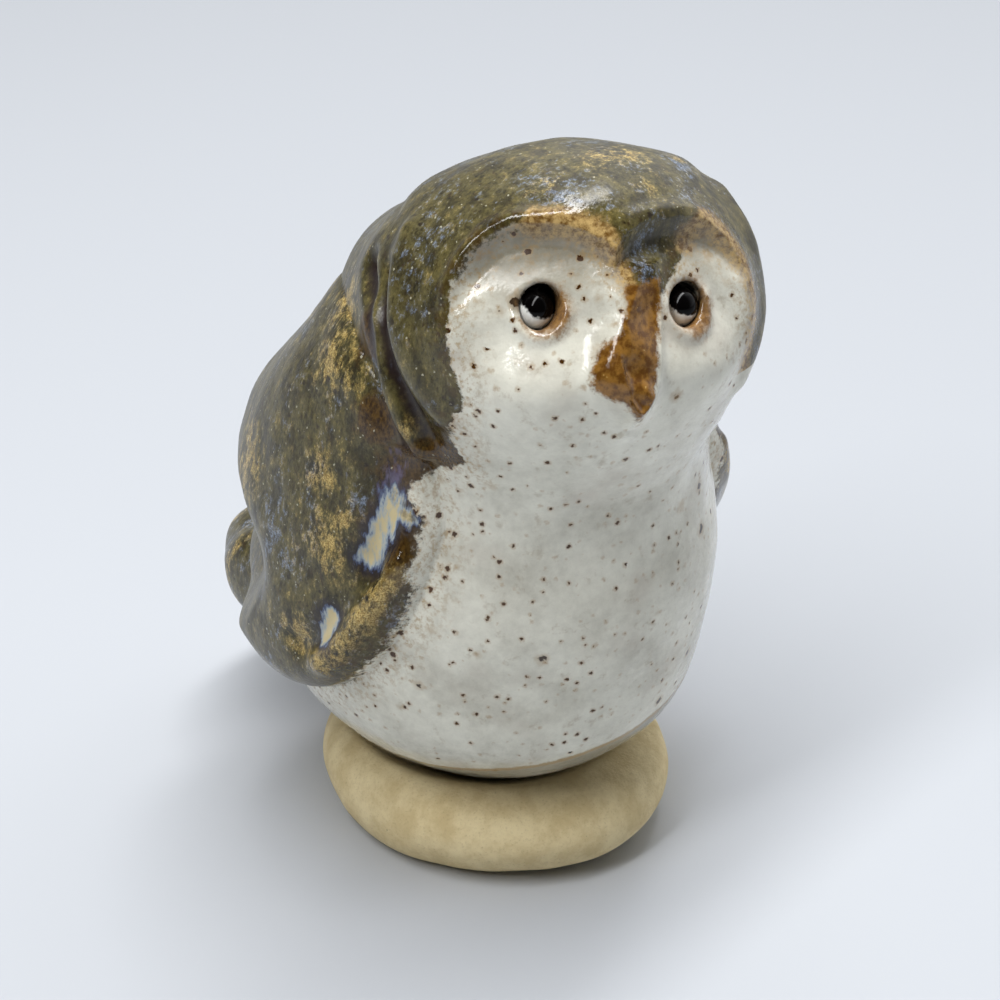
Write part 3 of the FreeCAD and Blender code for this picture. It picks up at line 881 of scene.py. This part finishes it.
def raw_clay(name):
    """Unglazed sandy stoneware: grainy and matt, with rusty blushes and a few dark grains."""
    nodes = Nodes(name)
    place = in_millimetres(nodes)
    mottle = nodes.noise(place, 0.5, 5.0, 0.65)
    tone = nodes.mix(nodes.spread(mottle, 0.30, 0.70), colour(218, 196, 146), colour(240, 222, 176))
    sand = nodes.noise(place, 6.0, 3.0, 0.7)
    tone = nodes.mix(nodes.spread(sand, 0.52, 0.76, 0.0, 0.4), tone, colour(178, 154, 112))
    rust = nodes.noise(place, 0.8, 4.0, 0.7)
    tone = nodes.mix(nodes.spread(rust, 0.62, 0.80, 0.0, 0.3), tone, colour(190, 154, 108))
    grains = specks(nodes, place, 1.5, -0.6, 0.14, 53.0)
    tone = nodes.mix(nodes.spread(grains, -0.04, 0.03, 0.0, 0.7), tone, colour(96, 80, 60))
    height = nodes.maths("MULTIPLY_ADD", sand, 0.05, nodes.maths("MULTIPLY", nodes.noise(place, 2.2, 3.0), 0.08))
    bump = nodes.add("Bump", {"Strength": 0.9, "Distance": MM, "Height": height})
    shader = nodes.add("BsdfPrincipled", {"Base Color": tone, "Roughness": 0.86, "Normal": bump})
    nodes.add("OutputMaterial", {"Surface": shader})
    return nodes.material


def black_glass(name):
    """Dark glass with a little white glaze pooled against its lower edge."""
    nodes = Nodes(name)
    place = in_millimetres(nodes)
    ragged = nodes.maths("SUBTRACT", nodes.noise(place, 3.0, 3.0), 0.5)
    pool = nodes.maths("MULTIPLY_ADD", ragged, 0.5, nodes.attribute("pool"))
    tone = nodes.mix(nodes.spread(pool, -0.08, 0.10), colour(5, 4, 4), colour(248, 248, 242))
    shader = nodes.add("BsdfPrincipled", {"Base Color": tone, "Roughness": 0.1, "IOR": 1.22})
    nodes.add("OutputMaterial", {"Surface": shader})
    return nodes.material


def plain(name, tone, roughness):
    nodes = Nodes(name)
    shader = nodes.add("BsdfPrincipled", {"Base Color": tone, "Roughness": roughness})
    nodes.add("OutputMaterial", {"Surface": shader})
    return nodes.material


# Each clay piece with the fineness of its mesh, in millimetres, and its glaze.
GLAZED_PIECES = (
    ("body_shell", 0.30, "white_glaze"), ("head", 0.22, "white_glaze"), ("beak", 0.13, "brown_glaze"),
    ("right_wing", 0.22, "olive_glaze"), ("left_wing", 0.22, "olive_glaze"),
    ("tail", 0.25, "olive_glaze"), ("right_shoulder_roll", 0.18, "olive_glaze"),
    ("left_shoulder_roll", 0.18, "olive_glaze"),
)


def write_zones(piece, zones):
    for zone, values in zones.items():
        piece.data.attributes.new(zone, "FLOAT", "POINT").data.foreach_set("value", values)


def finish_piece(piece, node, slot, material):
    """Gives a piece its material and puts it in the place of its node."""
    piece.data.materials.append(material)
    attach(piece, "root")
    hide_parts(node)


def bead_pool(side, points):
    """Where white glaze has pooled along the lower edge of an eye's bead."""
    across, _, up = (in_head(points) - eye_middle(side) - BEAD_MIDDLE).T
    return {"pool": np.hypot(across - 0.3, 1.1 * up - 0.5) - 1.2}


def build_pieces():
    coarse = 1.0
    glazes = {slot: glaze("owl_" + slot) for slot in ("white_glaze", "olive_glaze", "brown_glaze")}
    for node, cell, slot in GLAZED_PIECES:
        piece, points = make_piece(node + "_clay", piece_form(node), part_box(node), cell * coarse)
        write_zones(piece, glaze_zones(points))
        finish_piece(piece, node, slot, glazes[slot])
    pad, _ = make_piece("base_pad_clay", pad_form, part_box("base_pad"), 0.25 * coarse)
    finish_piece(pad, "base_pad", "raw_stoneware", raw_clay("clay"))
    glass = black_glass("glass")
    for node, side in (("right_eye", -1), ("left_eye", 1)):
        bead, points = make_piece(node + "_bead", eye_form(side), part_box(node), 0.1 * coarse)
        write_zones(bead, bead_pool(side, points))
        finish_piece(bead, node, "black_glass", glass)


def add_light(name, place, tilt, turned, size, power, tone):
    """A rectangular lamp that shines down, tilted off straight and turned about the upright."""
    data = bpy.data.lights.new(name, "AREA")
    data.shape, data.energy, data.color = "RECTANGLE", power, tone
    data.size, data.size_y = size
    light = bpy.data.objects.new(name, data)
    light.location = place
    light.rotation_euler = (0.0, math.radians(tilt), math.radians(turned))
    bpy.context.scene.collection.objects.link(light)


def build_world():
    """A well-lit tent of pale cloth with a dark gap behind the camera."""
    world = bpy.data.worlds.new("world")
    bpy.context.scene.world = world
    world.use_nodes = True
    tree = world.node_tree
    direction = tree.nodes.new("ShaderNodeTexCoord")
    toward = tree.nodes.new("ShaderNodeVectorMath")
    toward.operation = "DOT_PRODUCT"
    toward.inputs[1].default_value = (-0.54, -0.69, 0.48)
    gap = tree.nodes.new("ShaderNodeMapRange")
    gap.interpolation_type = "SMOOTHSTEP"
    for key, value in {"From Min": -0.1, "From Max": 0.6, "To Min": 0.64, "To Max": 0.05}.items():
        gap.inputs[key].default_value = value
    sideways = tree.nodes.new("ShaderNodeVectorMath")
    sideways.operation = "DOT_PRODUCT"
    sideways.inputs[1].default_value = (0.79, -0.61, 0.0)
    lean = tree.nodes.new("ShaderNodeMapRange")
    for key, value in {"From Min": -1.0, "From Max": 1.0, "To Min": 0.3, "To Max": 1.6}.items():
        lean.inputs[key].default_value = value
    strength = tree.nodes.new("ShaderNodeMath")
    strength.operation = "MULTIPLY"
    background = tree.nodes["Background"]
    background.inputs["Color"].default_value = (0.87, 0.89, 0.92, 1)
    tree.links.new(direction.outputs["Generated"], toward.inputs[0])
    tree.links.new(toward.outputs["Value"], gap.inputs["Value"])
    tree.links.new(direction.outputs["Generated"], sideways.inputs[0])
    tree.links.new(sideways.outputs["Value"], lean.inputs["Value"])
    tree.links.new(gap.outputs["Result"], strength.inputs[0])
    tree.links.new(lean.outputs["Result"], strength.inputs[1])
    tree.links.new(strength.outputs["Value"], background.inputs["Strength"])


def build_stage():
    mesh = bpy.data.meshes.new("floor")
    reach = 3.0
    mesh.from_pydata([(-reach, -reach, 0), (reach, -reach, 0), (reach, reach, 0), (-reach, reach, 0)],
                     [], [(0, 1, 2, 3)])
    floor = bpy.data.objects.new("floor", mesh)
    bpy.context.scene.collection.objects.link(floor)
    mesh.materials.append(plain("floor", colour(196, 200, 206), 0.9))
    build_world()
    add_light("strip", (-0.16, -0.035, 0.42), 0.0, 13.0, (0.74, 0.065), 2.9, (1, 1, 1))
    add_light("softbox", (0.46, 0.27, 0.53), 45.0, 30.0, (0.8, 0.8), 1.4, (1.0, 0.995, 0.98))
    camera_data = bpy.data.cameras.new("camera")
    camera_data.lens, camera_data.sensor_width = 100.68, 36.0
    camera = bpy.data.objects.new("camera", camera_data)
    camera.location = (-0.09977, -0.12835, 0.11231)
    target = Vector((-0.00003, -0.00064, 0.02305))
    camera.rotation_euler = (target - camera.location).to_track_quat("-Z", "Y").to_euler()
    camera_data.clip_start, camera_data.clip_end = 0.01, 10.0
    bpy.context.scene.collection.objects.link(camera)
    bpy.context.scene.camera = camera
    bpy.context.scene.view_settings.view_transform = "Standard"


build_pieces()
build_stage()
